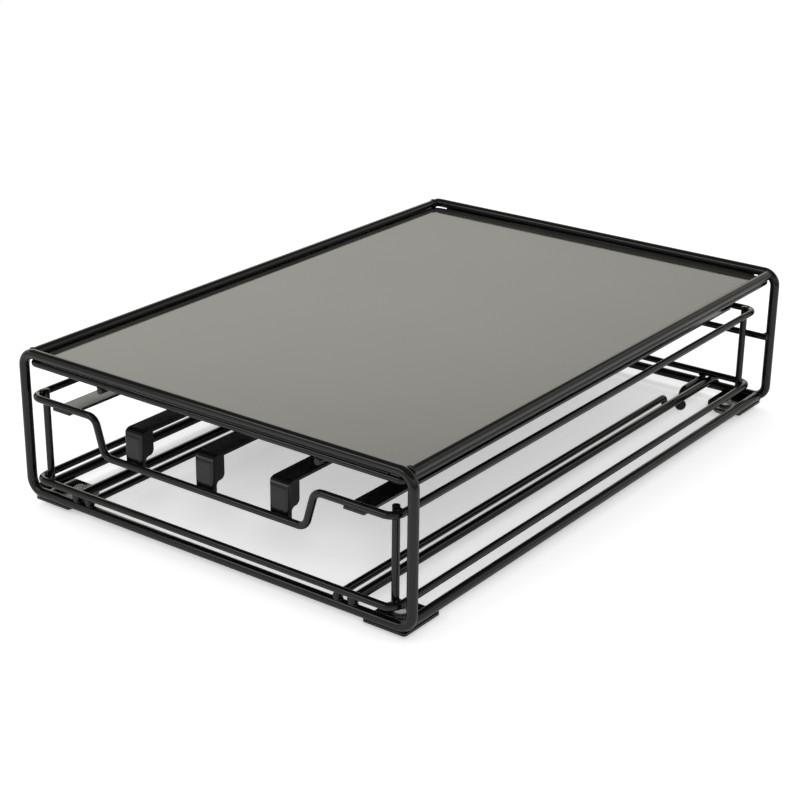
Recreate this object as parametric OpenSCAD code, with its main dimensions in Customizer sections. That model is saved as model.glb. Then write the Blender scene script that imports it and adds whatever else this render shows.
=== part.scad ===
// Coffee pod drawer: a wire frame with a drop-in glass top, and a wire drawer
// that slides out under it on two guide rails. Pods hang by their rims in the
// channels between the drawer's five sheet strips.
//
// X runs to the right, Y from front to back, Z up. The origin is on the
// surface that the feet stand on, under the middle of the closed drawer.
// Every wire's place is given at its centre line.

/* [Frame] */
// Width between the centre lines of the side wires
frame_width = 214; // [180:1:320]
// Depth between the centre lines of the front and rear loops
frame_depth = 308; // [250:1:420]
// Height between the centre lines of the bottom and top wires
frame_height = 67; // [60:1:110]
// Diameter of the frame's wire
frame_wire = 4.6; // [3.5:0.1:5]
// Bend radius of the two loops, at the centre line
frame_bend = 6.5; // [5.5:0.5:10]
// Where on the loops' bends the side rods butt, up from the horizontal
rod_seat_angle = 62; // [50:1:75]

/* [Top] */
// Thickness of the glass
glass_thickness = 4; // [3:0.5:6]
// Radius of the glass's corners
glass_corner = 8; // [4:0.5:12]
// Ground edge of the glass
glass_arris = 0.5; // [0.2:0.1:1]
// Play between the glass and the ring round it
glass_play = 0.2; // [0.2:0.1:1]
// Diameter of the ring's wire
ring_wire = 3; // [2.5:0.1:4]
// Bend radius of the ring, at the centre line
ring_bend = 3.5; // [3:0.5:6]
// How far the ring's sides lie inside the side rods
ring_side_step = 0.9; // [0:0.1:1.4]
// How far the ring's ends lie inside the loops
ring_end_step = 0.3; // [0:0.1:3]
// Distance between the two wires that carry the glass
rest_spacing = 120; // [80:1:160]

/* [Rails] */
// Diameter of the guide rails, which carry the drawer
guide_wire = 4.2; // [3.5:0.1:5]
// Place of the guide rails, in from the frame's side wires
guide_inset = 29; // [26:0.5:40]
// Diameter of the keeper rails
keeper_wire = 3.3; // [2.5:0.1:4]
// How far the keeper rails end short of the rear loop
keeper_short = 40; // [38:1:100]
// How far a keeper rail's rear end is bent down
keeper_drop = 3.6; // [3:0.1:4]
// Bend radius of the keeper rails, at the centre line
keeper_bend = 2.7; // [2.6:0.1:3]
// How far the rails run past the centre of the wire they lie on
rail_overrun = 1.5; // [0.5:0.1:2]
// Height of the rear guard wire over the bottom wires
guard_height = 34.2; // [20:0.2:38]

/* [Feet] */
// Length of a corner plate along the front
plate_length = 24; // [22:0.5:26]
// Width of a corner plate along the side
plate_width = 23; // [21:0.5:28]
// How far a plate's outer side lies in from the side wires
plate_inset = 2.5; // [0:0.1:3]
// How far a plate reaches out past the loop
plate_lip = 1.2; // [0:0.1:2]
// Thickness of the corner plates
plate_thickness = 1.2; // [0.8:0.1:2]
// Radius of a corner plate's inner corner
plate_round = 9; // [6:0.5:11]
// Radius of its other corners
plate_nip = 1.5; // [1:0.1:3]
// Place of a foot, in from the side wires
foot_inset_x = 15.5; // [13:0.5:16]
// Place of a foot, in from the loops
foot_inset_y = 14; // [12:0.5:15]
// Hole in the plate for a foot's neck
foot_hole = 5; // [4:0.5:6]
// Width of the foot's snap dome over the plate
dome_width = 7.4; // [7:0.1:9]
// Height of the snap dome
dome_height = 3.6; // [3:0.1:4]
// Width of the foot's pad
pad_width = 11; // [9:0.5:13]
// Thickness of the foot's pad
pad_height = 3.3; // [2.5:0.1:6]
// Radius of the pad's lower edge
pad_edge = 0.6; // [0.3:0.1:1]

/* [Drawer] */
// Diameter of the drawer's wire
drawer_wire = 3.3; // [2.6:0.1:4]
// Play at each side between the drawer and the frame
side_play = 2.8; // [0.8:0.05:5]
// How far the drawer's front stands before the front loop, centre to centre
front_proud = 3; // [2:0.1:6]
// Distance from the drawer's rear wires to the rear loop, when closed
rear_gap = 6; // [5.5:0.5:40]
// Bend radius of the drawer's corners, at the centre line
drawer_bend = 5.5; // [5:0.5:10]
// Distance between the upper and lower loop
loop_spacing = 39.7; // [34:0.1:42]
// Play between the drawer's lower loop and the guide rails
lift_play = 0.1; // [0.1:0.05:0.3]
// How far the posts' tips stand over the upper loop
post_tip = 0.8; // [0.5:0.1:3]

/* [Finger dip] */
// Width of the dip in the front wire, at its bottom
dip_width = 112; // [100:1:118]
// Depth of the dip
dip_depth = 17.3; // [12:0.1:20]
// Bend radius of the dip, at the centre line
dip_bend = 5; // [4:0.5:6]

/* [Pod rails] */
// Distance from the drawer's side wires to the middle of the outer rails
rail_margin = 19.2; // [17:0.1:22]
// Width of a pod rail
strip_width = 10.3; // [9:0.1:12]
// Thickness of the sheet
strip_sheet = 1.2; // [0.8:0.1:1.6]
// Radius of the shoulder over a rail's front leg, outside
shoulder = 4; // [3:0.5:6]
// Radius of the leg's upright edges, outside
leg_edge = 1.8; // [1.5:0.1:3]
// Depth of the leg's side wings
wing_depth = 7.4; // [7:0.1:12]
// Height of the wings, down from the rail's top
wing_height = 11.5; // [9:0.1:12]
// Radius of a wing's lower corner
wing_corner = 2.5; // [1:0.1:3]
// Depth of the narrow foot under the wings
wing_foot = 2.4; // [2:0.1:3]
// Radius of the fillet between foot and wing
wing_fillet = 2; // [1:0.1:2.5]

/* [Stops] */
// Diameter of the stop hooks' wire
hook_wire = 3; // [2.5:0.1:3.5]
// Distance from the drawer's rear wire to a hook's upright
hook_reach = 23; // [12:0.5:23.5]
// Bend radius of the hooks, at the centre line
hook_bend = 4; // [3:0.5:5]
// Play between a hook and the rail at each side of it
hook_play = 0.5; // [0.3:0.1:0.8]
// Diameter of the ball on a hook's end
ball_diameter = 5.8; // [5.4:0.1:6]
// Gap between the ball and the guide rail over it
ball_play = 3.4; // [0.4:0.1:3.8]

/* [Hidden] */
$fn = 48;

LEFT = -1;
RIGHT = 1;
FRONT = -1;
REAR = 1;
ENAMEL = [0.07, 0.07, 0.07];
GLASS = [0.55, 0.55, 0.52, 0.8];
CLEAR_RUBBER = [0.78, 0.78, 0.76, 0.7];

// Slope of the dip's flanks, as a cosine and sine without further decimals
SLOPE_X = 0.28;
SLOPE_Y = 0.96;

// Rounds a place down to hundredths, so that runs and bends meet exactly
function grid(v) = floor(v * 100) / 100;

// Heights
frame_r = frame_wire / 2;
drawer_r = drawer_wire / 2;
bottom_z = pad_height + plate_thickness + frame_r;
top_z = bottom_z + frame_height;

// The closed drawer's front and the rear loop bound the part
front_y = -(frame_depth + frame_r - front_proud - drawer_r) / 2;
rear_y = front_y + frame_depth;
side_x = frame_width / 2;

// Side rods, butted to the loops' bends
rod_in = frame_bend * (1 - cos(rod_seat_angle));
rod_dip = frame_bend * (1 - sin(rod_seat_angle));
rod_x = side_x - rod_in;

// Ring under the side rods, touching them along their length
ring_r = ring_wire / 2;
ring_x = grid(rod_x - ring_side_step);
ring_front_y = front_y + ring_end_step;
ring_rear_y = rear_y - ring_end_step;
ring_z = grid(top_z - rod_dip - sqrt(pow(frame_r + ring_r, 2) - pow(ring_side_step, 2)));
rest_z = ring_z - ring_wire;
glass_z = rest_z + ring_r;
glass_x = ring_x - ring_r - glass_play;
glass_front_y = ring_front_y + ring_r + glass_play;
glass_rear_y = ring_rear_y - ring_r - glass_play;

// Rails on the bottom wires
guide_r = guide_wire / 2;
keeper_r = keeper_wire / 2;
hook_r = hook_wire / 2;
guide_x = side_x - guide_inset;
guide_z = bottom_z + frame_r + guide_r;
hook_x = guide_x - guide_r - hook_play - hook_r;
keeper_x = hook_x - hook_r - hook_play - keeper_r;
keeper_z = bottom_z + frame_r + keeper_r;

// Drawer
drawer_x = side_x - frame_r - side_play - drawer_r;
drawer_front_y = front_y - front_proud;
drawer_rear_y = rear_y - rear_gap;
drawer_depth = drawer_rear_y - drawer_front_y;
lower_z = guide_z + guide_r + lift_play + drawer_r;
upper_z = lower_z + loop_spacing;
dip_flank = grid((dip_depth - 2 * dip_bend * (1 - SLOPE_X)) / SLOPE_Y);
dip_z = upper_z - 2 * dip_bend * (1 - SLOPE_X) - dip_flank * SLOPE_Y;

// Dip in the upper loop's front wire, from its middle outwards
dip_angle = acos(SLOPE_X);
dip_floor = grid(dip_width / 2 - dip_bend * SLOPE_Y / (1 + SLOPE_X));
dip_half = dip_floor + 2 * dip_bend * SLOPE_Y + dip_flank * SLOPE_X;

// Pod rails, evenly spaced, and the posts inside the side wires, next to the bends
rail_pitch = (drawer_x - rail_margin) / 2;
post_x = drawer_x - drawer_wire;
strip_z = upper_z - drawer_r - strip_sheet;
leg_front_y = drawer_front_y + drawer_r;
hook_z = lower_z - drawer_r - hook_r;
hook_y = drawer_rear_y - hook_reach;
ball_r = ball_diameter / 2;
ball_z = guide_z - sqrt(pow(guide_r + ball_r + ball_play, 2) - pow(guide_x - hook_x, 2));

// ---- Wire ----

// A bend of radius r about the origin, for a wire that arrives along X at the
// side away from the turn. Both end faces lie in the planes of the next runs.
module bend(t, r, d) {
    reach = r + d;
    intersection() {
        rotate_extrude() translate([r, 0]) circle(d = d);
        translate([0, -reach, -d]) cube([reach, 2 * reach, 2 * d]);
        rotate([0, 0, t]) translate([-reach, -reach, -d]) cube([reach, 2 * reach, 2 * d]);
    }
}

// A wire that sets out along X from the origin: each step is a straight run
// and the angle it then turns, to the left where positive. Children stand at
// the wire's end, in its direction.
module bent_wire(steps, r, d, i = 0) {
    run = steps[i][0];
    t = steps[i][1];
    rotate([0, 90, 0]) cylinder(h = run, d = d);
    translate([run, sign(t) * r, 0]) {
        if (t != 0) bend(t, r, d);
        rotate([0, 0, t])
            translate([0, -sign(t) * r, 0])
                if (i + 1 < len(steps)) bent_wire(steps, r, d, i + 1) children();
                else children();
    }
}

// A closed loop of wire, from the middle of its lower side round to it again
module wire_rectangle(width, height, r, d) {
    half = width / 2 - r;
    up = height - 2 * r;
    bent_wire([[half, 90], [up, 90], [2 * half, 90], [up, 90], [half, 0]], r, d);
}

// A straight wire along Y
module wire_along_y(x, y0, y1, z, d) {
    translate([x, y0, z])
        rotate([-90, 0, 0])
            cylinder(h = y1 - y0, d = d);
}

// A straight wire along X
module wire_along_x(x0, x1, y, z, d) {
    translate([x0, y, z])
        rotate([0, 90, 0])
            cylinder(h = x1 - x0, d = d);
}

// Turns the drawing plane upright: its x stays X and its y becomes Z
module upright_across(y) {
    translate([0, y, 0]) rotate([90, 0, 0]) children();
}

// Turns the drawing plane upright: its x becomes Y and its y becomes Z
module upright_along(x) {
    translate([x, 0, 0]) rotate([90, 0, 90]) children();
}

// ---- Frame ----

module end_loop(y) {
    color(ENAMEL)
        translate([0, 0, bottom_z])
            upright_across(y)
                wire_rectangle(frame_width, frame_height, frame_bend, frame_wire);
}

module side_rod(side, z) {
    color(ENAMEL)
        wire_along_y(side * rod_x, front_y + frame_r, rear_y - frame_r, z, frame_wire);
}

module rear_guard() {
    color(ENAMEL)
        wire_along_x(-side_x, side_x, rear_y - frame_r - drawer_r, bottom_z + guard_height,
            drawer_wire);
}

module guide_rail(side) {
    color(ENAMEL)
        wire_along_y(side * guide_x, front_y - rail_overrun, rear_y + rail_overrun, guide_z,
            guide_wire);
}

module keeper_rail(side) {
    run = rail_overrun + frame_depth - keeper_short - keeper_bend;
    color(ENAMEL)
        translate([0, front_y - rail_overrun, keeper_z])
            upright_along(side * keeper_x)
                bent_wire([[run, -90], [keeper_drop - keeper_bend, 0]], keeper_bend, keeper_wire);
}

// ---- Top ----

module glass_ring() {
    color(ENAMEL)
        translate([0, ring_front_y, ring_z])
            wire_rectangle(2 * ring_x, ring_rear_y - ring_front_y, ring_bend, ring_wire);
}

module glass_rest(side) {
    color(ENAMEL)
        wire_along_y(side * rest_spacing / 2, ring_front_y - ring_r / 2,
            ring_rear_y + ring_r / 2, rest_z, ring_wire);
}

// A slab with rounded corners, whose edge leans in from radius r0 to r1
module slab(z, height, r0, r1) {
    x = glass_x - glass_corner;
    y0 = glass_front_y + glass_corner;
    y1 = glass_rear_y - glass_corner;
    translate([0, 0, z]) {
        for (side = [LEFT, RIGHT], y = [y0, y1])
            translate([side * x, y, 0]) cylinder(h = height, r1 = r0, r2 = r1);
        upright_across(y1)
            linear_extrude(y1 - y0)
                polygon([[-x - r0, 0], [x + r0, 0], [x + r1, height], [-x - r1, height]]);
        upright_along(-x)
            linear_extrude(2 * x)
                polygon([[y0 - r0, 0], [y1 + r0, 0], [y1 + r1, height], [y0 - r1, height]]);
    }
}

// The glass, with an arris ground on its upper edge
module glass_top() {
    r = glass_corner;
    core = r - glass_arris;
    edge = glass_thickness - glass_arris;
    color(GLASS) {
        slab(glass_z, edge, r, r);
        slab(glass_z + edge, glass_arris, r, core);
        slab(glass_z, glass_thickness, core, core);
    }
}

// ---- Feet ----

// A corner plate's outline, from the corner of the wires inwards
module plate_outline() {
    x0 = plate_inset;
    y0 = -plate_lip;
    far = plate_round;
    difference() {
        union() {
            for (p = [[x0, y0], [plate_length - 2 * plate_nip, y0], [x0, plate_width - 2 * plate_nip]])
                translate([p[0] + plate_nip, p[1] + plate_nip]) circle(plate_nip);
            translate([plate_length - far, plate_width - far]) circle(far);
            translate([x0, y0 + plate_nip])
                square([plate_length - x0, plate_width - y0 - plate_nip - far]);
            translate([x0 + plate_nip, y0])
                square([plate_length - x0 - 2 * plate_nip, plate_nip]);
            translate([x0, y0 + plate_nip])
                square([plate_length - x0 - far, plate_width - y0 - 2 * plate_nip]);
            translate([x0 + plate_nip, plate_width - plate_nip])
                square([plate_length - x0 - plate_nip - far, plate_nip]);
        }
        translate([foot_inset_x, foot_inset_y]) circle(d = foot_hole);
    }
}

// Puts a child that is drawn from the front left corner at any corner
module at_corner(side, end) {
    mirror([side == RIGHT ? 1 : 0, 0, 0])
        mirror([0, end == REAR ? 1 : 0, 0])
            translate([-side_x, end == REAR ? -rear_y : front_y, 0])
                children();
}

module foot_plate(side, end) {
    color(ENAMEL)
        at_corner(side, end)
            translate([0, 0, pad_height])
                linear_extrude(plate_thickness)
                    plate_outline();
}

// A snap-in foot: pad, neck in the plate's hole, and dome over the plate
module foot(side, end) {
    pad = pad_width / 2;
    dome = dome_width / 2;
    plate_top = pad_height + plate_thickness;
    cap = (pow(dome, 2) + pow(dome_height, 2)) / (2 * dome_height);
    color(CLEAR_RUBBER)
        at_corner(side, end)
            translate([foot_inset_x, foot_inset_y, 0])
                rotate_extrude() {
                    square([foot_hole / 2, plate_top]);
                    square([pad - pad_edge, pad_height]);
                    translate([0, pad_edge]) square([pad, pad_height - pad_edge]);
                    translate([pad - pad_edge, pad_edge]) intersection() {
                        circle(pad_edge);
                        translate([0, -pad_edge]) square(pad_edge);
                    }
                    translate([0, plate_top]) intersection() {
                        translate([0, dome_height - cap]) circle(cap);
                        square([dome, dome_height]);
                    }
                }
}

// ---- Drawer ----

module drawer_lower_loop() {
    color(ENAMEL)
        translate([0, drawer_front_y, lower_z])
            wire_rectangle(2 * drawer_x, drawer_depth, drawer_bend, drawer_wire);
}

// The upper loop, whose front wire dips to clear the fingers and the pods. Each
// half runs from the middle of the dip round to the rear wire, and is cut to
// meet the other half in the middle.
module drawer_upper_loop() {
    dip_to_corner = drawer_x - drawer_bend - dip_half;
    lead = grid(dip_to_corner / 2);
    end_run = dip_to_corner - lead;
    side_run = drawer_depth - 2 * drawer_bend;
    rear_run = drawer_x;
    color(ENAMEL)
        for (side = [LEFT, RIGHT])
            mirror([side == LEFT ? 1 : 0, 0, 0])
                intersection() {
                    translate([0, drawer_front_y, dip_z])
                        upright_across(0)
                            bent_wire([[dip_floor, dip_angle], [dip_flank, -dip_angle], [lead, 0]],
                                dip_bend, drawer_wire)
                                rotate([-90, 0, 0])
                                    bent_wire([[end_run, 90], [side_run, 90], [rear_run, 0]],
                                        drawer_bend, drawer_wire);
                    translate([0, -drawer_depth, 0])
                        cube([frame_width, 2 * drawer_depth, 2 * top_z]);
                }
}

module post(side, end) {
    y = end == FRONT ? drawer_front_y + drawer_bend : drawer_rear_y - drawer_bend;
    color(ENAMEL)
        translate([side * post_x, y, lower_z - drawer_r])
            cylinder(h = loop_spacing + drawer_wire + post_tip, d = drawer_wire);
}

// ---- Pod rails ----

// A flat strip under the front and rear wires
module flat_rail(x) {
    color(ENAMEL)
        translate([x - strip_width / 2, drawer_front_y - drawer_r / 2, strip_z])
            cube([strip_width, drawer_depth + drawer_r, strip_sheet]);
}

// Side view of the leg's outline, from its front face back: a shoulder, a wing
// that ends in a rounded corner, and a narrow foot behind the dipped wire
module leg_profile() {
    foot_z = dip_z - drawer_r / 2;
    wing_z = strip_z + strip_sheet - wing_height;
    shoulder_profile(0, wing_depth, wing_z + wing_corner);
    translate([0, wing_z]) square([wing_depth - wing_corner, wing_corner]);
    translate([wing_depth - wing_corner, wing_z + wing_corner]) circle(wing_corner);
    translate([0, foot_z]) square([wing_foot, wing_z - foot_z]);
    translate([wing_foot, wing_z - wing_fillet]) difference() {
        square(wing_fillet);
        translate([wing_fillet, 0]) circle(wing_fillet);
    }
}

// A block under the rail's top, with its front edge rounded to the shoulder
module shoulder_profile(inset, depth, low_z) {
    r = shoulder - inset;
    top = strip_z + strip_sheet - inset;
    translate([inset, low_z]) square([depth - inset, top - r - low_z]);
    translate([inset + r, top - r]) square([depth - inset - r, r]);
    translate([inset + r, top - r]) intersection() {
        circle(r);
        translate([-r, 0]) square(r);
    }
}

// Plan of the leg, with its two upright edges rounded
module leg_plan(inset, depth) {
    half = strip_width / 2 - inset;
    edge = leg_edge - inset;
    for (sx = [LEFT, RIGHT])
        translate([sx * (half - edge), inset + edge]) circle(edge);
    translate([-half, inset + edge]) square([2 * half, depth - inset - edge]);
    translate([-half + edge, inset]) square([2 * (half - edge), edge]);
}

// What a side view and a plan have in common
module leg_block(inset, depth) {
    intersection() {
        upright_along(-strip_width)
            linear_extrude(2 * strip_width)
                children();
        translate([0, 0, lower_z])
            linear_extrude(loop_spacing)
                leg_plan(inset, depth);
    }
}

// A rail whose front end is folded down into a winged leg, behind the dip
module legged_rail(x) {
    clear_depth = wing_depth + strip_sheet;
    rear_end = drawer_rear_y + drawer_r / 2;
    color(ENAMEL)
        translate([x, leg_front_y, 0]) {
            difference() {
                leg_block(0, wing_depth) leg_profile();
                leg_block(strip_sheet, clear_depth)
                    shoulder_profile(strip_sheet, clear_depth, lower_z);
            }
            translate([-strip_width / 2, shoulder, strip_z])
                cube([strip_width, rear_end - leg_front_y - shoulder, strip_sheet]);
        }
}

// ---- Stops ----

module stop_hook(side) {
    run = hook_reach + drawer_r / 2 - hook_bend;
    color(ENAMEL)
        translate([0, drawer_rear_y + drawer_r / 2, hook_z])
            upright_along(side * hook_x)
                rotate(180)
                    bent_wire([[run, 90], [hook_z - ball_z - hook_bend, 0]], hook_bend, hook_wire);
}

module stop_ball(side) {
    color(ENAMEL)
        translate([side * hook_x, hook_y, ball_z])
            difference() {
                sphere(d = ball_diameter);
                cylinder(h = ball_diameter, d = hook_wire);
            }
}

end_loop(front_y);  // front_loop
end_loop(rear_y);  // rear_loop
side_rod(LEFT, top_z - rod_dip);  // top_rod_left
side_rod(RIGHT, top_z - rod_dip);  // top_rod_right
side_rod(LEFT, bottom_z + rod_dip);  // bottom_rod_left
side_rod(RIGHT, bottom_z + rod_dip);  // bottom_rod_right
glass_ring();
glass_rest(LEFT);  // glass_rest_left
glass_rest(RIGHT);  // glass_rest_right
glass_top();
rear_guard();
guide_rail(LEFT);  // guide_rail_left
guide_rail(RIGHT);  // guide_rail_right
keeper_rail(LEFT);  // keeper_rail_left
keeper_rail(RIGHT);  // keeper_rail_right
foot_plate(LEFT, FRONT);  // foot_plate_front_left
foot_plate(RIGHT, FRONT);  // foot_plate_front_right
foot_plate(LEFT, REAR);  // foot_plate_rear_left
foot_plate(RIGHT, REAR);  // foot_plate_rear_right
foot(LEFT, FRONT);  // foot_front_left
foot(RIGHT, FRONT);  // foot_front_right
foot(LEFT, REAR);  // foot_rear_left
foot(RIGHT, REAR);  // foot_rear_right
drawer_upper_loop();
drawer_lower_loop();
post(LEFT, FRONT);  // post_front_left
post(RIGHT, FRONT);  // post_front_right
post(LEFT, REAR);  // post_rear_left
post(RIGHT, REAR);  // post_rear_right
flat_rail(-2 * rail_pitch);  // pod_rail_1
legged_rail(-rail_pitch);  // pod_rail_2
legged_rail(0);  // pod_rail_3
legged_rail(rail_pitch);  // pod_rail_4
flat_rail(2 * rail_pitch);  // pod_rail_5
stop_hook(LEFT);  // stop_hook_left
stop_hook(RIGHT);  // stop_hook_right
stop_ball(LEFT);  // stop_ball_left
stop_ball(RIGHT);  // stop_ball_right
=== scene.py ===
"""Dresses the coffee pod drawer and lights it.

A wire frame with a smoked glass top stands on four clear feet, and a wire
drawer slides out of its front. The frame's own solids carry the shapes. This
script gives them their finishes and adds what a welder and an enameller leave
behind: the beads at the joints and the rounded ends of the cut wires. It also
lays dark enamel rods beside the ring under the glass as painted shade: they
stand in for the shade and the wire's reflection in the glass there.

Lengths are in metres, or in millimetres where a name ends in mm, in the
frame's own axes: X to the right, Y to the back, Z up, with the floor at zero.
"""
import logging
import math
import random
from dataclasses import dataclass, field
from enum import Enum
from typing import Any, Iterable

import bmesh
import bpy
from mathutils import Matrix, Vector


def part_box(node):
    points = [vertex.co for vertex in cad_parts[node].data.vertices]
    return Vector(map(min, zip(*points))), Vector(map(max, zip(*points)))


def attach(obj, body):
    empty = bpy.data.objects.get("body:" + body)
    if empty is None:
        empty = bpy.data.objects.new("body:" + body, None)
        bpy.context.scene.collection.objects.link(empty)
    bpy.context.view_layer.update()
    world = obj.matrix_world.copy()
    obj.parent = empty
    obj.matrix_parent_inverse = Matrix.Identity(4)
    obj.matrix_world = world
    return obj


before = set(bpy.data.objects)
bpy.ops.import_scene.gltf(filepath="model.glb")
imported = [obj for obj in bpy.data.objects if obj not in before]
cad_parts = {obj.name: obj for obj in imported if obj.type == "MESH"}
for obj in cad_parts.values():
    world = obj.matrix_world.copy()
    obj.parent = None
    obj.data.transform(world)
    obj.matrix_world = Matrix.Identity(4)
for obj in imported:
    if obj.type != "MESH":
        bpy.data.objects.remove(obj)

log = logging.getLogger("pod_drawer")
MM = 0.001
SEED = 7
UP, DOWN = Vector((0, 0, 1)), Vector((0, 0, -1))
BACKWARD, FORWARD = Vector((0, 1, 0)), Vector((0, -1, 0))
WHITE = (1.0, 1.0, 1.0, 1.0)


class Body(Enum):
    """The two bodies that pieces ride on."""

    FRAME = "frame"
    DRAWER = "drawer"


class Way(Enum):
    """One of two ways along an axis, with its sign."""

    @property
    def word(self) -> str:
        """Gives the way's word in the solids' names."""
        return self.name.lower()


class Side(Way):
    """Left or right, with the sign of X there."""

    LEFT = -1
    RIGHT = 1


class End(Way):
    """Front or rear, with the sign of Y there."""

    FRONT = -1
    REAR = 1


# ---- Small helpers ----


@dataclass(frozen=True)
class Box:
    """The box of one of the frame's solids, at rest."""

    low: Vector
    high: Vector

    @classmethod
    def of(cls, node: str) -> "Box":
        """Reads the box of the solid with this name."""
        return cls(*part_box(node))

    @property
    def middle(self) -> Vector:
        """Gives the middle of the box."""
        return (self.low + self.high) / 2

    @property
    def size(self) -> Vector:
        """Gives the box's lengths along X, Y and Z."""
        return self.high - self.low


def linear(hex_colour: str) -> tuple[float, float, float, float]:
    """Turns an sRGB hex colour into linear light.

    Args:
        hex_colour: six hex digits, such as "5f5f59".

    Returns:
        Red, green, blue and an alpha of one.
    """
    channels = [int(hex_colour[i:i + 2], 16) / 255 for i in (0, 2, 4)]
    light = [c / 12.92 if c <= 0.04045 else ((c + 0.055) / 1.055) ** 2.4
             for c in channels]
    return (light[0], light[1], light[2], 1.0)


def per_metre(millimetres: float) -> float:
    """Gives the texture scale whose pattern repeats about every so many mm."""
    return 1 / (millimetres * MM)


def around(middle: float, drift: float) -> dict[str, float]:
    """Gives a Map Range its ends, half a drift to either side of a middle."""
    return {"To Min": middle - drift / 2, "To Max": middle + drift / 2}


def feed(tree: bpy.types.NodeTree, node: bpy.types.Node,
         inputs: dict[str | int, Any]) -> None:
    """Sets or links a node's inputs.

    Args:
        tree: the node's tree.
        node: the node.
        inputs: input name or number to a value, or to the output that feeds it.
    """
    for name, value in inputs.items():
        if isinstance(value, bpy.types.NodeSocket):
            tree.links.new(value, node.inputs[name])
        else:
            node.inputs[name].default_value = value


def put(tree: bpy.types.NodeTree, kind: str,
        inputs: dict[str | int, Any] | None = None, **settings: Any) -> bpy.types.Node:
    """Adds a node with its settings and links.

    Args:
        tree: the node tree that it goes into.
        kind: the node's type, such as "ShaderNodeMix".
        inputs: input name or number to a value, or to the output that feeds it.
        **settings: the node's own properties.

    Returns:
        The new node.
    """
    node = tree.nodes.new(kind)
    for name, value in settings.items():
        setattr(node, name, value)
    feed(tree, node, inputs or {})
    return node


def start_material(name: str) -> tuple[bpy.types.Material, bpy.types.NodeSocket]:
    """Makes a material with a Principled shader.

    Args:
        name: the material's name.

    Returns:
        The material, and the place on the solid that its patterns read.
    """
    made = bpy.data.materials.new(name)
    made.use_nodes = True
    return made, put(made.node_tree, "ShaderNodeTexCoord").outputs["Object"]


def dress(nodes: Iterable[str], material: bpy.types.Material) -> None:
    """Gives the frame's solids one finish.

    Args:
        nodes: the solids' names.
        material: their finish.
    """
    for name in nodes:
        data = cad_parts[name].data
        data.materials.clear()
        data.materials.append(material)
        log.info("%s: %s", name, material.name)


# ---- Finishes ----


@dataclass(frozen=True)
class WireEnamel:
    """Black stoving enamel on steel, dipped and baked.

    The coat is deep black and glossy, with a faint orange peel that breaks up
    its highlights, and fine dust that baked in. Each cell of the dust pattern
    has room for one speck, which fades between dust_core and dust_edge, and
    most cells are clean.
    """

    name: str = "wire_enamel"
    colour: str = "080809"
    dust: str = "4a4a48"
    dust_mm: float = 1.1
    dust_core: float = 0.07
    dust_edge: float = 0.1
    clean_share: float = 0.9
    peel_mm: float = 2.2
    peel_depth_mm: float = 0.012
    drift_mm: float = 26
    drift_from: float = 0.3
    drift_to: float = 0.7
    roughness: float = 0.1
    roughness_drift: float = 0.06
    ior: float = 1.5

    def material(self) -> bpy.types.Material:
        """Makes the enamel's material.

        Returns:
            The material.
        """
        made, place = start_material(self.name)
        tree = made.node_tree
        peel = put(tree, "ShaderNodeTexNoise",
                   {"Vector": place, "Scale": per_metre(self.peel_mm), "Detail": 2.0,
                    "Roughness": 0.45})
        drift = put(tree, "ShaderNodeTexNoise",
                    {"Vector": place, "Scale": per_metre(self.drift_mm), "Detail": 3.0})
        cells = put(tree, "ShaderNodeTexVoronoi",
                    {"Vector": place, "Scale": per_metre(self.dust_mm),
                     "Randomness": 1.0})
        speck = put(tree, "ShaderNodeMapRange",
                    {"Value": cells.outputs["Distance"], "From Min": self.dust_core,
                     "From Max": self.dust_edge, "To Min": 1.0, "To Max": 0.0})
        chosen = put(tree, "ShaderNodeSeparateColor", {"Color": cells.outputs["Color"]})
        dusty = put(tree, "ShaderNodeMath", {0: chosen.outputs[0], 1: self.clean_share},
                    operation="GREATER_THAN")
        dust = put(tree, "ShaderNodeMath", {0: speck.outputs[0], 1: dusty.outputs[0]},
                   operation="MULTIPLY")
        colour = put(tree, "ShaderNodeMix",
                     {"Factor": dust.outputs[0], "A": linear(self.colour),
                      "B": linear(self.dust)}, data_type="RGBA")
        rough = put(tree, "ShaderNodeMapRange",
                    {"Value": drift.outputs["Fac"], "From Min": self.drift_from,
                     "From Max": self.drift_to,
                     **around(self.roughness, self.roughness_drift)})
        bump = put(tree, "ShaderNodeBump",
                   {"Height": peel.outputs["Fac"], "Strength": 1.0,
                    "Distance": self.peel_depth_mm * MM})
        feed(tree, tree.nodes["Principled BSDF"],
             {"Base Color": colour.outputs["Result"],
              "Roughness": rough.outputs["Result"],
              "Normal": bump.outputs["Normal"], "IOR": self.ior})
        return made


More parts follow.
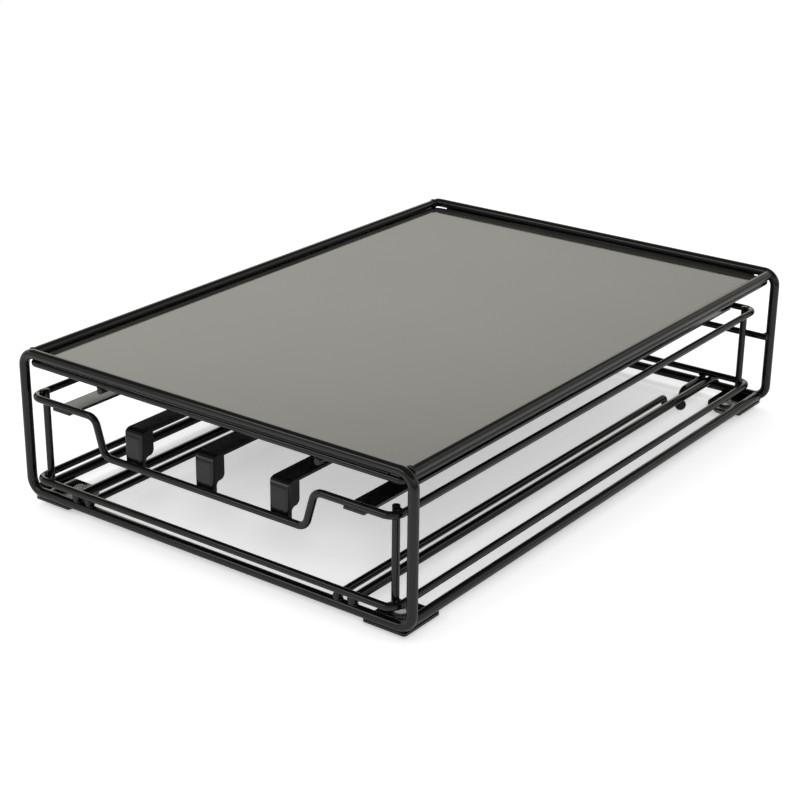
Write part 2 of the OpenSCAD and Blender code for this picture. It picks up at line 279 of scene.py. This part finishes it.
@dataclass(frozen=True)
class SmokedGlass:
    """Grey tinted float glass with ground edges.

    Its polished face is a dark mirror that greys with whatever stands behind
    it. The sheet has a faint waviness. Soft clouds lighten its colour and change
    its roughness a little; the lighter colour is painted reflection, standing in
    for the mottled reflections on the sheet.
    """

    name: str = "smoked_glass"
    clear: str = "262624"
    hazy: str = "33322e"
    haze_mm: float = 70
    haze_from: float = 0.32
    haze_to: float = 0.68
    wave_mm: float = 45
    wave_depth_mm: float = 0.02
    roughness: float = 0.09
    roughness_drift: float = 0.03
    ior: float = 1.5

    def material(self) -> bpy.types.Material:
        """Makes the glass's material.

        Returns:
            The material.
        """
        made, place = start_material(self.name)
        tree = made.node_tree
        reflection_clouds = put(tree, "ShaderNodeTexNoise",
                   {"Vector": place, "Scale": per_metre(self.haze_mm), "Detail": 3.0,
                    "Roughness": 0.5})
        span = {"Value": reflection_clouds.outputs["Fac"], "From Min": self.haze_from,
                "From Max": self.haze_to}
        share = put(tree, "ShaderNodeMapRange", span)
        # Lighter clouds in the colour are painted reflection
        colour = put(tree, "ShaderNodeMix",
                     {"Factor": share.outputs["Result"], "A": linear(self.clear),
                      "B": linear(self.hazy)}, data_type="RGBA")
        rough = put(tree, "ShaderNodeMapRange",
                    {**span, **around(self.roughness, self.roughness_drift)})
        wave = put(tree, "ShaderNodeTexNoise",
                   {"Vector": place, "Scale": per_metre(self.wave_mm), "Detail": 1.0})
        bump = put(tree, "ShaderNodeBump",
                   {"Height": wave.outputs["Fac"], "Strength": 1.0,
                    "Distance": self.wave_depth_mm * MM})
        feed(tree, tree.nodes["Principled BSDF"],
             {"Base Color": colour.outputs["Result"],
              "Roughness": rough.outputs["Result"],
              "Normal": bump.outputs["Normal"], "IOR": self.ior})
        return made


@dataclass(frozen=True)
class ClearRubber:
    """Clear moulded silicone rubber.

    It lets light through and scatters it, and its skin has the fine grain of
    the mould.
    """

    name: str = "clear_rubber"
    colour: str = "e4e5e2"
    grain_mm: float = 0.8
    grain_depth_mm: float = 0.01
    grain_strength: float = 0.6
    roughness: float = 0.22
    roughness_drift: float = 0.12
    transmission: float = 0.75
    ior: float = 1.42

    def material(self) -> bpy.types.Material:
        """Makes the rubber's material.

        Returns:
            The material.
        """
        made, place = start_material(self.name)
        tree = made.node_tree
        grain = put(tree, "ShaderNodeTexNoise",
                    {"Vector": place, "Scale": per_metre(self.grain_mm)})
        rough = put(tree, "ShaderNodeMapRange",
                    {"Value": grain.outputs["Fac"],
                     **around(self.roughness, self.roughness_drift)})
        bump = put(tree, "ShaderNodeBump",
                   {"Height": grain.outputs["Fac"], "Strength": self.grain_strength,
                    "Distance": self.grain_depth_mm * MM})
        feed(tree, tree.nodes["Principled BSDF"],
             {"Base Color": linear(self.colour), "Roughness": rough.outputs["Result"],
              "Normal": bump.outputs["Normal"], "IOR": self.ior,
              "Transmission Weight": self.transmission})
        return made


# ---- What the welder and the enameller leave ----


@dataclass
class SmallShapes:
    """Many small shapes on one body, gathered into one piece."""

    name: str
    body: Body
    mesh: bmesh.types.BMesh = field(default_factory=bmesh.new)

    def make(self, material: bpy.types.Material) -> None:
        """Makes the piece, smooth and dressed, and lets it ride on its body.

        Args:
            material: its finish.
        """
        bmesh.ops.recalc_face_normals(self.mesh, faces=self.mesh.faces)
        data = bpy.data.meshes.new(self.name)
        self.mesh.to_mesh(data)
        self.mesh.free()
        data.shade_smooth()
        data.materials.append(material)
        piece = bpy.data.objects.new(self.name, data)
        bpy.context.scene.collection.objects.link(piece)
        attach(piece, self.body.value)
        log.info("%s: %d faces, rides on %s", self.name, len(data.polygons),
                 self.body.value)

    @staticmethod
    def stand(place: Vector, way: Vector) -> Matrix:
        """Gives the transform that stands an upright shape at a place, along a way."""
        turn = UP.rotation_difference(way).to_matrix().to_4x4()
        return Matrix.Translation(place) @ turn


@dataclass
class Beads(SmallShapes):
    """Resistance weld beads under the enamel.

    Each is a lump of steel that squeezed out between two wires. The enamel
    flows round it, so it's a soft oval, and a few sine waves through it make
    its skin slightly uneven.
    """

    unevenness: float = 0.07
    size_spread: float = 0.07
    waves: int = 3
    wave_pitch: float = 3
    roundness: int = 3
    seam_segments: int = 24
    chance: random.Random = field(default_factory=lambda: random.Random(SEED))

    def add(self, place: Vector, size_mm: tuple[float, float, float]) -> None:
        """Adds a bead.

        Args:
            place: its middle.
            size_mm: its length along X, Y and Z in millimetres.
        """
        draw, spread, pitch = self.chance.uniform, self.size_spread, self.wave_pitch
        shape = Matrix.Translation(place) @ Matrix.Diagonal(
            [s * MM / 2 * draw(1 - spread, 1 + spread) for s in size_mm] + [1.0])
        lump = bmesh.ops.create_icosphere(self.mesh, subdivisions=self.roundness,
                                          radius=1.0)
        waves = [(Vector([draw(-pitch, pitch) for _ in range(3)]), draw(0, math.tau))
                 for _ in range(self.waves)]
        for vertex in lump["verts"]:
            swell = sum(math.sin(vertex.co.dot(way) + phase) for way, phase in waves)
            vertex.co = shape @ (vertex.co * (1 + self.unevenness * swell / self.waves))

    def seam(self, start: Vector, end: Vector, thickness: float) -> None:
        """Adds a straight dark rod of enamel between two wires: painted shade, which
        darkens the gap there.

        Args:
            start: one end of it.
            end: the other end.
            thickness: its diameter.
        """
        way = end - start
        bmesh.ops.create_cone(self.mesh, cap_ends=True, segments=self.seam_segments,
                              radius1=thickness / 2, radius2=thickness / 2,
                              depth=way.length,
                              matrix=self.stand((start + end) / 2, way))


@dataclass
class WireEnds(SmallShapes):
    """The low domes of enamel on the cut ends of wires."""

    rise: float = 0.25
    rings: int = 5
    segments: int = 32

    def add(self, end: Vector, way: Vector, radius: float) -> None:
        """Adds a dome.

        Args:
            end: the middle of the wire's end face.
            way: the direction that the wire's end points in.
            radius: the wire's radius.
        """
        shape, verts, faces = self.stand(end, way), self.mesh.verts, self.mesh.faces
        loops = []
        for ring in range(self.rings):
            angle = math.pi / 2 * ring / self.rings
            across, up = radius * math.cos(angle), radius * self.rise * math.sin(angle)
            turns = [math.tau * k / self.segments for k in range(self.segments)]
            loops.append([verts.new(shape @ Vector((across * math.cos(turn),
                                                    across * math.sin(turn), up)))
                          for turn in turns])
        top = verts.new(shape @ Vector((0, 0, radius * self.rise)))
        following = [(k, (k + 1) % self.segments) for k in range(self.segments)]
        for lower, upper in zip(loops, loops[1:]):
            for k, after in following:
                faces.new((lower[k], lower[after], upper[after], upper[k]))
        for k, after in following:
            faces.new((loops[-1][k], loops[-1][after], top))
        faces.new(list(reversed(loops[0])))


# ---- Sub-assemblies ----


@dataclass
class OpenFrame:
    """Loops, side rods, the glass with its ring and rests, and the rear guard wire."""

    enamel: bpy.types.Material
    glass: bpy.types.Material
    beads: Beads
    ends: WireEnds
    rod_bead_inset_mm: float = 0.3
    rod_bead_length_mm: float = 2.2
    rod_bead_spread_mm: float = 0.7
    ring_tacks: int = 4
    ring_tack_mm: tuple[float, float, float] = (2.8, 5.0, 2.0)
    seam_inset_mm: float = 9.0
    seam_overlap_mm: float = 0.9
    guard_bead_inset_mm: float = 0.6
    guard_bead_mm: tuple[float, float, float] = (4.6, 1.6, 4.2)
    rest_bead_mm: tuple[float, float, float] = (3.6, 3.0, 1.2)

    def build(self) -> None:
        """Dresses the solids, adds their welds and lays the dark rods of painted shade
        beside the ring.
        """
        dress(["front_loop", "rear_loop", "glass_ring", "rear_guard"], self.enamel)
        dress(["glass_top"], self.glass)
        # Dark enamel rods beside the ring: painted shade
        for end in End:
            self.fill_crevice(end)
        for side in Side:
            rods = [f"top_rod_{side.word}", f"bottom_rod_{side.word}"]
            dress([*rods, f"glass_rest_{side.word}"], self.enamel)
            for rod in rods:
                self.weld_rod(rod)
            self.weld_ring(side)
            self.weld_guard(side)
            self.weld_rest(side)

    def fill_crevice(self, end: End) -> None:
        """Lays a dark enamel rod in the gap between the ring and a loop's top wire. It
        is painted shade: it stands in for the shade and the wire's reflection in the
        glass, which darken that gap.

        Args:
            end: the loop's end of the frame.
        """
        loop, ring = Box.of(f"{end.word}_loop"), Box.of("glass_ring")
        low, high = ring.high.z, loop.high.z - loop.size.y
        edge = ring.high.y if end is End.REAR else ring.low.y
        y = (loop.middle.y + edge - end.value * ring.size.z / 2) / 2
        z = (low + high) / 2
        reach = ring.high.x - self.seam_inset_mm * MM
        self.beads.seam(Vector((-reach, y, z)), Vector((reach, y, z)),
                        high - low + self.seam_overlap_mm * MM)

    def weld_rod(self, name: str) -> None:
        """Rings the butt joints between a side rod and the loops' bends.

        Args:
            name: the rod.
        """
        rod = Box.of(name)
        across = rod.size.x / MM + self.rod_bead_spread_mm
        inset = self.rod_bead_inset_mm * MM
        for y in (rod.low.y + inset, rod.high.y - inset):
            self.beads.add(Vector((rod.middle.x, y, rod.middle.z)),
                           (across, self.rod_bead_length_mm, across))

    def weld_ring(self, side: Side) -> None:
        """Tacks the ring to the rod over it.

        Args:
            side: the rod's side of the frame.
        """
        rod, ring = Box.of(f"top_rod_{side.word}"), Box.of("glass_ring")
        x = (side.value * (ring.high.x - ring.size.z / 2) + rod.middle.x) / 2
        z = (ring.middle.z + rod.middle.z) / 2
        for k in range(self.ring_tacks):
            y = rod.low.y + rod.size.y * (k + 0.5) / self.ring_tacks
            self.beads.add(Vector((x, y, z)), self.ring_tack_mm)

    def weld_guard(self, side: Side) -> None:
        """Welds the guard wire to the rear loop's upright and rounds its end.

        Args:
            side: the upright's side of the frame.
        """
        guard, loop = Box.of("rear_guard"), Box.of("rear_loop")
        y, z = guard.middle.y, guard.middle.z
        x = loop.high.x - loop.size.y / 2 - self.guard_bead_inset_mm * MM
        self.beads.add(Vector((side.value * x, guard.high.y, z)), self.guard_bead_mm)
        self.ends.add(Vector((side.value * guard.high.x, y, z)),
                      Vector((side.value, 0, 0)), guard.size.z / 2)

    def weld_rest(self, side: Side) -> None:
        """Welds a wire under the glass to both ends of the ring.

        Args:
            side: the wire's side of the frame.
        """
        rest, ring = Box.of(f"glass_rest_{side.word}"), Box.of("glass_ring")
        radius = ring.size.z / 2
        for y in (ring.low.y + radius, ring.high.y - radius):
            self.beads.add(Vector((rest.middle.x, y, rest.high.z)), self.rest_bead_mm)


@dataclass
class Runners:
    """The rails on the frame's bottom wires.

    The drawer's cross wires run on two guides. The keeper beside each leaves a
    gap that the ball on the drawer's hook can't pass.
    """

    enamel: bpy.types.Material
    beads: Beads
    ends: WireEnds
    bead_spread_mm: float = 1.2
    bead_length_mm: float = 3.8
    bead_height_mm: float = 1.6

    def build(self) -> None:
        """Dresses the rails, welds them down and rounds their ends."""
        for side in Side:
            guide, keeper = f"guide_rail_{side.word}", f"keeper_rail_{side.word}"
            dress([guide, keeper], self.enamel)
            self.weld(guide, End.FRONT)
            self.weld(guide, End.REAR)
            self.weld(keeper, End.FRONT)
            box = Box.of(guide)
            x, z, radius = box.middle.x, box.middle.z, box.size.z / 2
            self.ends.add(Vector((x, box.low.y, z)), FORWARD, radius)
            self.ends.add(Vector((x, box.high.y, z)), BACKWARD, radius)
            box = Box.of(keeper)
            x, radius = box.middle.x, box.size.x / 2
            self.ends.add(Vector((x, box.low.y, box.high.z - radius)), FORWARD, radius)
            self.ends.add(Vector((x, box.high.y - radius, box.low.z)), DOWN, radius)

    def weld(self, rail: str, end: End) -> None:
        """Welds a rail where it crosses a loop's bottom wire.

        Args:
            rail: the rail.
            end: the loop's end of the frame.
        """
        box, loop = Box.of(rail), Box.of(f"{end.word}_loop")
        place = Vector((box.middle.x, loop.middle.y, loop.low.z + loop.size.y))
        self.beads.add(place, (box.size.x / MM + self.bead_spread_mm,
                               self.bead_length_mm, self.bead_height_mm))


@dataclass
class Feet:
    """Corner plates with their snap-in feet."""

    enamel: bpy.types.Material
    rubber: bpy.types.Material
    beads: Beads
    tack_inset_mm: float = 9.0
    tack_mm: tuple[float, float, float] = (6.0, 3.4, 1.2)

    def build(self) -> None:
        """Dresses the plates and feet, and tacks the plates to the wires."""
        for end in End:
            loop = Box.of(f"{end.word}_loop")
            x = loop.high.x - self.tack_inset_mm * MM
            for side in Side:
                corner = f"{end.word}_{side.word}"
                dress([f"foot_plate_{corner}"], self.enamel)
                dress([f"foot_{corner}"], self.rubber)
                self.beads.add(Vector((side.value * x, loop.middle.y, loop.low.z)),
                               self.tack_mm)


@dataclass
class SlidingDrawer:
    """The drawer's two loops, its posts and the rails that the pods hang on."""

    wire: bpy.types.Material
    sheet: bpy.types.Material
    beads: Beads
    ends: WireEnds
    rails: int = 5
    legged: tuple[int, ...] = (2, 3, 4)
    post_bead_mm: tuple[float, float, float] = (3.4, 3.4, 3.6)
    rail_bead_mm: tuple[float, float, float] = (6.4, 2.6, 1.0)
    leg_bead_mm: tuple[float, float, float] = (7.0, 1.0, 2.4)

    def build(self) -> None:
        """Dresses the solids, welds them together and rounds the posts' ends."""
        dress(["drawer_upper_loop", "drawer_lower_loop"], self.wire)
        for end in End:
            for side in Side:
                self.post(end, side)
        for number in range(1, self.rails + 1):
            self.rail(number)

    def post(self, end: End, side: Side) -> None:
        """Dresses a post, welds it inside the loops' side wires and rounds its tips.

        Args:
            end: its end of the drawer.
            side: its side of the drawer.
        """
        name = f"post_{end.word}_{side.word}"
        dress([name], self.wire)
        post = Box.of(name)
        x, y, radius = post.middle.x, post.middle.y, post.size.x / 2
        for loop in ("drawer_upper_loop", "drawer_lower_loop"):
            z = Box.of(loop).high.z - radius
            self.beads.add(Vector((x + side.value * radius, y, z)), self.post_bead_mm)
        self.ends.add(Vector((x, y, post.high.z)), UP, radius)
        self.ends.add(Vector((x, y, post.low.z)), DOWN, radius)

    def rail(self, number: int) -> None:
        """Dresses a pod rail and welds its ends to the loops.

        Args:
            number: its place in the row, from one at the left.
        """
        name = f"pod_rail_{number}"
        dress([name], self.sheet)
        rail, upper = Box.of(name), Box.of("drawer_upper_loop")
        wire = Box.of("drawer_lower_loop").size.z
        x, radius = rail.middle.x, wire / 2
        self.beads.add(Vector((x, upper.high.y - radius, rail.high.z)),
                       self.rail_bead_mm)
        if number in self.legged:
            self.beads.add(Vector((x, upper.low.y + wire, upper.low.z + radius)),
                           self.leg_bead_mm)
        else:
            self.beads.add(Vector((x, upper.low.y + radius, rail.high.z)),
                           self.rail_bead_mm)


@dataclass
class Stops:
    """The hooks that reach under the rails, with the ball on each one's end."""

    enamel: bpy.types.Material
    beads: Beads
    bead_mm: tuple[float, float, float] = (4.4, 3.8, 1.6)

    def build(self) -> None:
        """Dresses the hooks and balls, and welds the hooks under the rear wire."""
        loop = Box.of("drawer_lower_loop")
        y = loop.high.y - loop.size.z / 2
        for side in Side:
            name = f"stop_hook_{side.word}"
            dress([name, f"stop_ball_{side.word}"], self.enamel)
            hook = Box.of(name)
            self.beads.add(Vector((hook.middle.x, y, hook.high.z)), self.bead_mm)


# ---- Studio ----


@dataclass(frozen=True)
class SoftBox:
    """A rectangular lamp that looks at the object.

    Reflections show it only where mirrored is true.
    """

    name: str
    place: tuple[float, float, float]
    size: tuple[float, float]
    watts: float
    mirrored: bool = False

    def hang(self) -> None:
        """Hangs the lamp and turns it to the object."""
        data = bpy.data.lights.new(self.name, "AREA")
        data.shape = "RECTANGLE"
        data.size, data.size_y = self.size
        data.energy = self.watts
        lamp = bpy.data.objects.new(self.name, data)
        lamp.location = self.place
        lamp.rotation_mode = "QUATERNION"
        lamp.rotation_quaternion = (-Vector(self.place)).to_track_quat("-Z", "Y")
        lamp.visible_glossy = self.mirrored
        lamp.visible_camera = False
        bpy.context.scene.collection.objects.link(lamp)


@dataclass(frozen=True)
class Studio:
    """A pale floor in a white room, lit from overhead, the front right and a strip.

    The eye sees white all round. Reflections see a bright backdrop on one side
    and gloom over it and on the other side, where the floor fades out too. A
    height on the backdrop is the Z of a way of length one from the object, and
    a turn is that way's dot product with backdrop_way.
    """

    floor_size: float = 12.0
    floor_drop_mm: float = 0.02
    floor_albedo: float = 0.8
    floor_glow: float = 0.46
    floor_shade: float = 0.8
    floor_whitens_from: float = 0.6
    floor_whitens_to: float = 1.4
    floor_fades_from: float = 0.25
    floor_fades_to: float = 0.7
    room_light: float = 0.55
    gloom: float = 0.16
    backdrop_way: tuple[float, float, float] = (-0.85, 0.53, 0.0)
    backdrop_ends_from: float = 0.44
    backdrop_ends_to: float = 0.6
    backdrop_turns_from: float = 0.5
    backdrop_turns_to: float = 1.0
    backdrop_in_front: float = 0.35
    backdrop_tint: str = "fffdf3"
    glow: float = 1.88
    glow_from: float = 0.21
    glow_to: float = 0.375
    lamps: tuple[SoftBox, ...] = (
        SoftBox("overhead", (-0.25, 0.2, 1.6), (1.3, 1.3), 7.0),
        SoftBox("key", (0.85, -1.15, 0.95), (0.5, 0.5), 10.0),
        SoftBox("strip", (-0.55, -1.25, 1.0), (1.1, 0.22), 2.4, mirrored=True),
    )

    def build(self) -> None:
        """Makes the floor, the room and the lamps."""
        self.floor()
        self.room()
        for lamp in self.lamps:
            lamp.hang()

    @staticmethod
    def rays(tree: bpy.types.NodeTree) -> tuple[bpy.types.NodeSocket,
                                                bpy.types.NodeSocket]:
        """Tells the rays apart that reach the floor or the room.

        Args:
            tree: the node tree that asks.

        Returns:
            One for a ray from the eye, straight or through something clear, and
            one for a ray from a glossy face.
        """
        path = put(tree, "ShaderNodeLightPath")
        seen = put(tree, "ShaderNodeMath", {0: path.outputs["Is Camera Ray"],
                                            1: path.outputs["Is Transmission Ray"]},
                   operation="MAXIMUM")
        return seen.outputs[0], path.outputs["Is Glossy Ray"]

    def floor(self) -> None:
        """Lays the floor: matt card that glows a little, so its shadows stay pale."""
        mesh = bmesh.new()
        bmesh.ops.create_grid(mesh, x_segments=1, y_segments=1,
                              size=self.floor_size / 2)
        data = bpy.data.meshes.new("studio_floor")
        mesh.to_mesh(data)
        mesh.free()
        card = bpy.data.objects.new("studio_floor", data)
        card.location.z = -self.floor_drop_mm * MM
        bpy.context.scene.collection.objects.link(card)
        data.materials.append(self.card())

    def card(self) -> bpy.types.Material:
        """Makes the floor's card.

        Returns:
            The material.
        """
        made = bpy.data.materials.new("white_card")
        made.use_nodes = True
        tree = made.node_tree
        tree.nodes.clear()
        seen, glossy = self.rays(tree)
        place = put(tree, "ShaderNodeNewGeometry").outputs["Position"]
        matt, faint = (
            put(tree, "ShaderNodeBsdfDiffuse", {"Color": (level, level, level, 1.0)})
            for level in (self.floor_albedo, self.floor_shade))
        glow, white, gloom = (
            put(tree, "ShaderNodeEmission", {"Color": WHITE, "Strength": strength})
            for strength in (self.floor_glow, 1.0, self.gloom))
        pale = put(tree, "ShaderNodeAddShader",
                   {0: faint.outputs[0], 1: glow.outputs[0]})
        # Away from the object the card runs on into white
        away = put(tree, "ShaderNodeVectorMath", {0: place}, operation="LENGTH")
        whitens = put(tree, "ShaderNodeMapRange",
                      {"Value": away.outputs["Value"],
                       "From Min": self.floor_whitens_from,
                       "From Max": self.floor_whitens_to},
                      interpolation_type="SMOOTHSTEP")
        to_eye = put(tree, "ShaderNodeMixShader",
                     {0: whitens.outputs["Result"], 1: pale.outputs[0],
                      2: white.outputs[0]})
        plain = put(tree, "ShaderNodeMixShader",
                    {0: seen, 1: matt.outputs[0], 2: to_eye.outputs[0]})
        # Reflections lose the card in gloom on the side away from the backdrop
        toward = put(tree, "ShaderNodeVectorMath", {0: place, 1: self.backdrop_way},
                     operation="DOT_PRODUCT")
        far = put(tree, "ShaderNodeMapRange",
                  {"Value": toward.outputs["Value"], "From Min": -self.floor_fades_from,
                   "From Max": -self.floor_fades_to})
        fades = put(tree, "ShaderNodeMath", {0: far.outputs["Result"], 1: glossy},
                    operation="MULTIPLY")
        look = put(tree, "ShaderNodeMixShader",
                   {0: fades.outputs[0], 1: plain.outputs[0], 2: gloom.outputs[0]})
        put(tree, "ShaderNodeOutputMaterial", {"Surface": look.outputs[0]})
        return made

    def room(self) -> None:
        """Makes the room: an even light, and what reflections see of it."""
        world = bpy.data.worlds.new("studio_room")
        bpy.context.scene.world = world
        world.use_nodes = True
        tree = world.node_tree
        tree.nodes.clear()
        seen, glossy = self.rays(tree)
        way = put(tree, "ShaderNodeTexCoord").outputs["Generated"]
        height = put(tree, "ShaderNodeSeparateXYZ", {"Vector": way}).outputs["Z"]
        low = put(tree, "ShaderNodeMapRange",
                  {"Value": height, "From Min": self.backdrop_ends_from,
                   "From Max": self.backdrop_ends_to, "To Min": 1.0, "To Max": 0.0},
                  interpolation_type="SMOOTHSTEP")
        toward = put(tree, "ShaderNodeVectorMath", {0: way, 1: self.backdrop_way},
                     operation="DOT_PRODUCT")
        behind = put(tree, "ShaderNodeMapRange",
                     {"Value": toward.outputs["Value"],
                      "From Min": self.backdrop_turns_from,
                      "From Max": self.backdrop_turns_to,
                      "To Min": self.backdrop_in_front},
                     interpolation_type="SMOOTHSTEP")
        backdrop = put(tree, "ShaderNodeMath",
                       {0: low.outputs["Result"], 1: behind.outputs["Result"]},
                       operation="MULTIPLY")
        # The backdrop's upper part glows, as a large soft box does
        glow = put(tree, "ShaderNodeMapRange",
                   {"Value": height, "From Min": self.glow_from,
                    "From Max": self.glow_to, "To Min": 1.0, "To Max": self.glow},
                   interpolation_type="SMOOTHSTEP")
        mirrored = put(tree, "ShaderNodeMapRange",
                       {"Value": backdrop.outputs[0], "To Min": self.gloom,
                        "To Max": glow.outputs["Result"]})
        plain = put(tree, "ShaderNodeMix",
                    {"Factor": seen, "A": self.room_light, "B": 1.0})
        level = put(tree, "ShaderNodeMix",
                    {"Factor": glossy, "A": plain.outputs["Result"],
                     "B": mirrored.outputs["Result"]})
        tint = put(tree, "ShaderNodeMix",
                   {"Factor": glossy, "A": WHITE, "B": linear(self.backdrop_tint)},
                   data_type="RGBA")
        light = put(tree, "ShaderNodeBackground",
                    {"Color": tint.outputs["Result"],
                     "Strength": level.outputs["Result"]})
        put(tree, "ShaderNodeOutputWorld", {"Surface": light.outputs[0]})


@dataclass(frozen=True)
class Viewpoint:
    """A camera above the front right corner, looking down at the drawer."""

    place_mm: tuple[float, float, float] = (476.1, -663.0, 360.7)
    forward: tuple[float, float, float] = (-0.5495, 0.7454, -0.3773)
    roll_deg: float = 0.64
    focal_px: float = 1830.6
    picture_px: float = 800.0
    sensor_mm: float = 36.0
    clip: tuple[float, float] = (0.01, 30.0)

    def build(self) -> None:
        """Makes the camera and looks through it."""
        data = bpy.data.cameras.new("viewpoint")
        data.sensor_width = self.sensor_mm
        data.lens = self.focal_px / self.picture_px * self.sensor_mm
        data.clip_start, data.clip_end = self.clip
        camera = bpy.data.objects.new("viewpoint", data)
        camera.location = Vector(self.place_mm) * MM
        level = Vector(self.forward).to_track_quat("-Z", "Y")
        roll = Matrix.Rotation(math.radians(self.roll_deg), 4, "Z")
        camera.rotation_euler = (level.to_matrix().to_4x4() @ roll).to_euler()
        bpy.context.scene.collection.objects.link(camera)
        bpy.context.scene.camera = camera


def main() -> None:
    """Builds the studio and dresses the drawer, piece by piece."""
    logging.basicConfig(level=logging.INFO, format="%(name)s: %(message)s")
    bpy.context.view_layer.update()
    bpy.context.scene.view_settings.view_transform = "Standard"
    Viewpoint().build()
    Studio().build()

    wire = WireEnamel().material()
    sheet = WireEnamel(name="sheet_enamel", colour="0c0c0d", roughness=0.2,
                       peel_mm=3.0, peel_depth_mm=0.008).material()
    glass = SmokedGlass().material()
    rubber = ClearRubber().material()

    beads = Beads("frame_weld_beads_and_shade_rods", Body.FRAME)
    ends = WireEnds("frame_wire_ends", Body.FRAME)
    OpenFrame(wire, glass, beads, ends).build()
    Runners(wire, beads, ends).build()
    Feet(sheet, rubber, beads).build()
    beads.make(wire)
    ends.make(wire)

    beads = Beads("drawer_weld_beads", Body.DRAWER)
    ends = WireEnds("drawer_wire_ends", Body.DRAWER)
    SlidingDrawer(wire, sheet, beads, ends).build()
    Stops(wire, beads).build()
    beads.make(wire)
    ends.make(wire)


if __name__ == "__main__":
    main()
